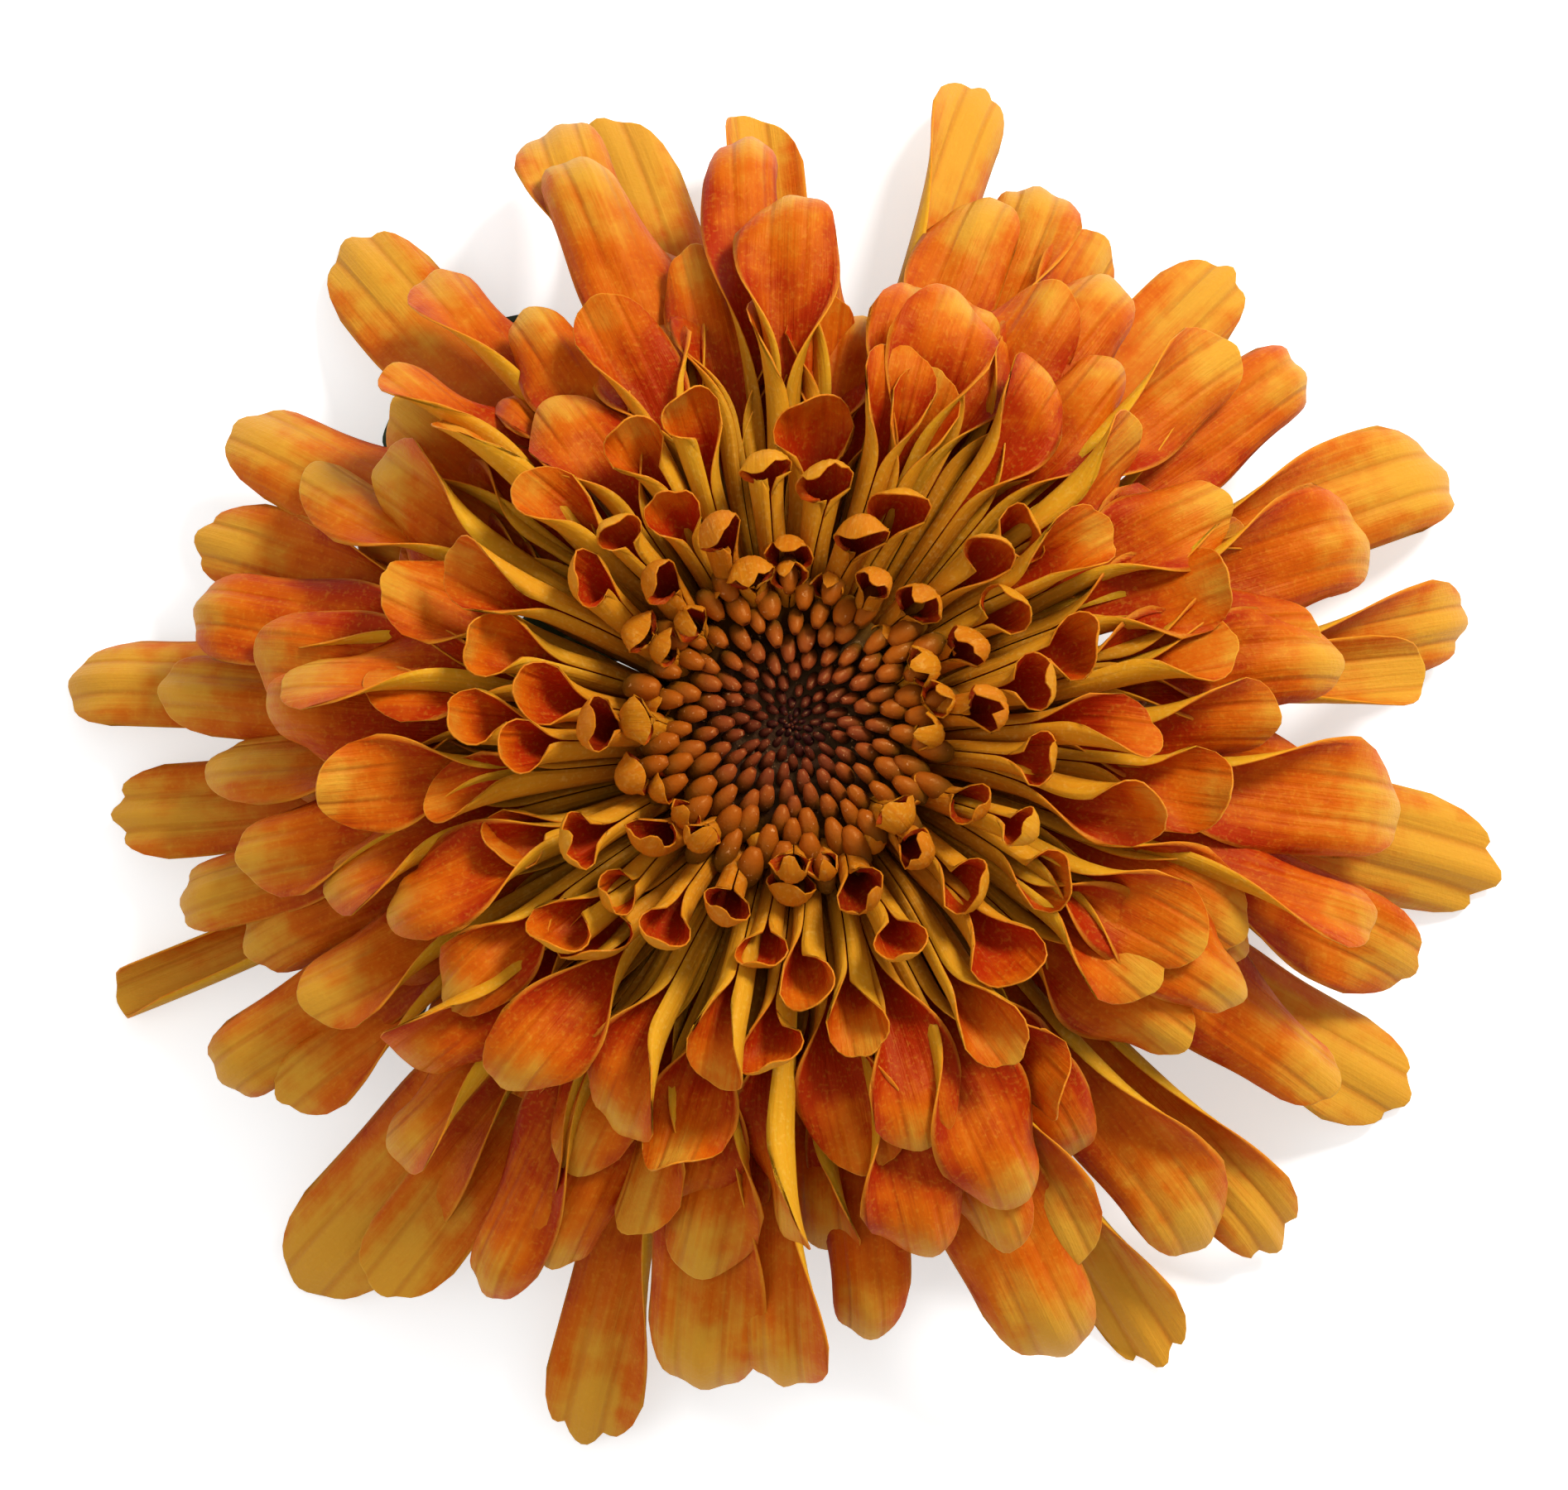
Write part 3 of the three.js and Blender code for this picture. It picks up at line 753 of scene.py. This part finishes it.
def add_bud(bm, number, hollow_top, draw):
    """Adds one bud of the spiral: small, short and dark in the hollow, tall and leaning in at the rim."""
    share = math.sqrt((number + 0.5) / BUD_COUNT)
    radius = DISC_RADIUS * BUD_SPREAD * share ** BUD_CROWDING
    angle = number * GOLDEN_ANGLE + draw.uniform(-0.05, 0.05)
    width = mix(*BUD_WIDTHS, (radius / DISC_RADIUS) ** 0.8) * MM * draw.uniform(0.82, 1.15)
    tall = mix(*BUD_HEIGHTS, share) * MM * draw.uniform(0.85, 1.15)
    bend = mix(*BUD_BENDS, share) * draw.uniform(0.8, 1.15)
    top = hollow_top + DISC_HOLLOW * smooth(0, 0.9, radius / DISC_RADIUS)
    foot = Vector((radius + 0.55 * tall * bend / 2, 0, top - BUD_SUNK * tall))
    ripe_layer = bm.verts.layers.float["ripe"]
    head_layer = bm.verts.layers.float["head"]
    made = bmesh.ops.create_uvsphere(bm, u_segments=10, v_segments=9, radius=1.0)
    turned = Matrix.Rotation(angle, 4, "Z")
    for vertex in made["verts"]:
        up = 0.5 + 0.5 * vertex.co.z
        vertex[ripe_layer] = share
        vertex[head_layer] = up
        vertex.co = AXIS + turned @ (foot + bud_point(up, vertex.co.xy, width, tall, bend))


def add_disc_bed(bm, hollow_top):
    """Adds the bed under the buds: a flat foot, a wall, and a slope from its top into the hollow."""
    ripe_layer = bm.verts.layers.float["ripe"]
    made = bmesh.ops.create_circle(bm, cap_ends=True, segments=48, radius=DISC_RADIUS * BED_SPREAD)
    for vertex in made["verts"]:
        vertex.co += AXIS + Vector((0, 0, disc_low.z + 2.5 * MM))
        vertex[ripe_layer] = 0.7
    rim = [edge for edge in bm.edges if edge.is_boundary]
    wall = (1.06, disc_high.z - 2.8 * MM, 0.7)
    slope = (0.45, hollow_top + 0.2 * MM, 0.1)
    for spread, height, ripe in (wall, slope):
        grown = bmesh.ops.extrude_edge_only(bm, edges=rim)["geom"]
        for vertex in [part for part in grown if isinstance(part, bmesh.types.BMVert)]:
            across = vertex.co - AXIS
            vertex.co = AXIS + Vector((across.x * spread, across.y * spread, height))
            vertex[ripe_layer] = ripe
        rim = [part for part in grown if isinstance(part, bmesh.types.BMEdge) and part.is_boundary]
    bmesh.ops.holes_fill(bm, edges=rim, sides=60)


def make_disc():
    draw = random.Random(7)
    bm = bmesh.new()
    bm.verts.layers.float.new("ripe")
    bm.verts.layers.float.new("head")
    hollow_top = disc_high.z - DISC_HOLLOW - DISC_SINK
    for number in range(BUD_COUNT):
        add_bud(bm, number, hollow_top, draw)
    add_disc_bed(bm, hollow_top)
    bmesh.ops.recalc_face_normals(bm, faces=bm.faces[:])
    stand_for(new_piece("disc_buds", bm, [bud_material()]), "disc_florets")


# ---- Stem, bracts and leaves ----
def make_stem():
    """The stub of stem with its ribs, which flares into the receptacle's dome."""
    bm = bmesh.new()
    spine = [bm.verts.new((radius * MM, 0, height * MM)) for radius, height in STEM_PROFILE]
    spine.append(bm.verts.new((0, 0, stem_high.z)))
    edges = [bm.edges.new(pair) for pair in zip(spine, spine[1:])]
    bmesh.ops.spin(bm, geom=spine + edges, cent=(0, 0, 0), axis=(0, 0, 1), dvec=(0, 0, 0), angle=math.tau,
                   steps=64, use_merge=True)
    bmesh.ops.remove_doubles(bm, verts=bm.verts[:], dist=0.01 * MM)
    for vertex in bm.verts:
        angle = math.atan2(vertex.co.y, vertex.co.x)
        rib = 1 + RIB_DEPTH * math.cos(RIB_COUNT * angle) * smooth(*RIBS_FADE, vertex.co.z)
        vertex.co = AXIS + Vector((vertex.co.x * rib, vertex.co.y * rib, vertex.co.z))
    bmesh.ops.recalc_face_normals(bm, faces=bm.faces[:])
    stand_for(new_piece("ribbed_stem", bm, [stem_material()]), "stem_with_receptacle")


def make_bracts(node, inner, outer, count, turn, material):
    """A ring of overlapping pointed scales under the head, from one radius to another, each a strap."""
    low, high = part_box(node)
    draw = random.Random(node)
    bm = start_straps()
    seed_layer = bm.verts.layers.float["seed"]
    for k in range(count):
        azimuth = turn + k * math.tau / count + draw.uniform(-0.05, 0.05)
        turned = Matrix.Rotation(azimuth, 4, "Z")
        seed = draw.random()
        made = bmesh.ops.create_grid(bm, x_segments=10, y_segments=6, size=0.5, calc_uvs=True)
        for vertex in made["verts"]:
            vertex[seed_layer] = seed
            u, v = vertex.co.x + 0.5, 2 * vertex.co.y
            radius = mix(inner, outer, u * (1 - BRACT_POINT * abs(v)))
            half = BRACT_HALF_WIDTH * (1 - BRACT_TAPER * u ** 2)
            z = mix(low.z + 0.3 * MM, high.z - BRACT_CUP, u) + BRACT_CUP * v * v
            vertex.co = AXIS + turned @ Vector((radius, v * half, z))
    piece = new_piece(f"{node}_scales", bm, [material])
    thicken(piece, BRACT_THICKNESS, offset=0)
    stand_for(piece, node)


def leaf_point(u, v, length, width, phase):
    """Where a point of the flat strap goes, u of the way along it and v from -1 to 1 across it."""
    opened = smooth(*STALK_WIDENS, u)
    rounded = math.sqrt(max(0.0004, 1 - max(0.0, (u - 0.5) / 0.5) ** 2))
    lobes = abs(math.cos((u - 0.64 + phase * 0.1 * math.copysign(1, v)) * math.pi * LOBES)) ** 0.7
    teeth = TOOTH_DEPTH * abs(math.sin(u * math.pi * TEETH))
    spread = (width / 2 - STALK_HALF_WIDTH) * opened * rounded
    half = STALK_HALF_WIDTH + spread * (LOBE_FLOOR + LOBE_DEPTH * lobes + teeth)
    forward = LOBE_SWEEP * half * abs(v) * opened * rounded
    out = min(LEAF_START + (length - LEAF_START) * u + forward, length)
    stalk = STALK_CLIMB * (1 - smooth(*STALK_FALLS, u))
    wave = LEAF_WAVE * opened * abs(v) * (1 + math.sin(17 * u + 2 * v))
    midrib = MIDRIB_HEIGHT * math.exp(-(v / MIDRIB_WIDTH) ** 2) * opened
    return Vector((out, v * half, LEAF_REST + stalk + wave + midrib))


def make_leaf(node, width, materials):
    """A lobed leaf: a stalk, then a blade with rounded lobes that point forward and small teeth."""
    points = [vertex.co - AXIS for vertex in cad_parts[node].data.vertices]
    length = max(p.xy.length for p in points)
    heading = sum(points, Vector())
    turned = Matrix.Rotation(math.atan2(heading.y, heading.x), 4, "Z")
    phase = random.Random(node).uniform(-0.15, 0.15)
    bm = start_straps()
    seed_layer = bm.verts.layers.float["seed"]
    made = bmesh.ops.create_grid(bm, x_segments=110, y_segments=18, size=0.5, calc_uvs=True)
    for vertex in made["verts"]:
        vertex[seed_layer] = 0.5
        vertex.co = AXIS + turned @ leaf_point(vertex.co.x + 0.5, 2 * vertex.co.y, length, width, phase)
    piece = new_piece(f"{node}_blade", bm, materials)
    thicken(piece, LEAF_THICKNESS, offset=-1, side_material=1, rim_material=1)
    stand_for(piece, node)


def make_greenery():
    make_stem()
    bracts = bract_material()
    make_bracts("bracts_inner", 4.0 * MM, 13.3 * MM, count=16, turn=0.0, material=bracts)
    make_bracts("bracts_outer", 3.6 * MM, 10.4 * MM, count=14, turn=math.pi / 14, material=bracts)
    leaf_sides = (leaf_material("leaf_upper", *LEAF_UPPER), leaf_material("leaf_under", *LEAF_UNDER))
    make_leaf("leaf_large", 31 * MM, leaf_sides)
    make_leaf("leaf_small", 23 * MM, leaf_sides)


# ---- Floor, light and camera ----
def make_floor():
    finish = Finish("pale_floor", roughness=0.75, specular=0.1)
    finish.colour(FLOOR_WHITE)
    finish.inputs["Emission Color"].default_value = (1, 1, 1, 1)
    seen = finish.nodes.new("ShaderNodeLightPath").outputs["Is Camera Ray"]
    finish.feed(finish.inputs["Emission Strength"], finish.scaled(seen, FLOOR_GLOW))
    bm = bmesh.new()
    bmesh.ops.create_grid(bm, x_segments=2, y_segments=2, size=2.5)
    bmesh.ops.translate(bm, verts=bm.verts[:], vec=(0, 0, cad_low.z - 0.02 * MM))
    new_piece("floor", bm, [finish.material])


def add_light(name, place, size, power):
    light = bpy.data.lights.new(name, "AREA")
    light.shape = "DISK"
    light.size = size
    light.energy = power
    lamp = bpy.data.objects.new(name, light)
    lamp.location = place
    lamp.rotation_euler = (-Vector(place)).to_track_quat("-Z", "Y").to_euler()
    bpy.context.scene.collection.objects.link(lamp)


def light_room():
    add_light("key", (0.55, 0.6, 0.8), size=0.35, power=12.5)
    add_light("fill", (-0.8, -0.3, 0.9), size=0.9, power=2.0)
    world = bpy.data.worlds.new("soft_room")
    world.use_nodes = True
    world.node_tree.nodes["Background"].inputs["Color"].default_value = (1, 1, 1, 1)
    world.node_tree.nodes["Background"].inputs["Strength"].default_value = ROOM_LIGHT
    bpy.context.scene.world = world
    bpy.context.scene.view_settings.view_transform = "Standard"


def make_camera():
    camera = bpy.data.cameras.new("camera")
    camera.sensor_width = SENSOR
    camera.lens = SENSOR * VIEW_DISTANCE / VIEW_WIDTH
    camera.clip_start = 0.01
    seer = bpy.data.objects.new("camera", camera)
    aim = (cad_low + cad_high) / 2
    aim.z = cad_low.z + AIM_HEIGHT
    back = Vector((0, -math.cos(VIEW_ELEVATION), math.sin(VIEW_ELEVATION)))
    seer.location = aim + back * VIEW_DISTANCE
    seer.rotation_euler = (-back).to_track_quat("-Z", "Y").to_euler()
    bpy.context.scene.collection.objects.link(seer)
    bpy.context.scene.camera = seer


make_florets()
make_disc()
make_greenery()
make_floor()
light_room()
make_camera()
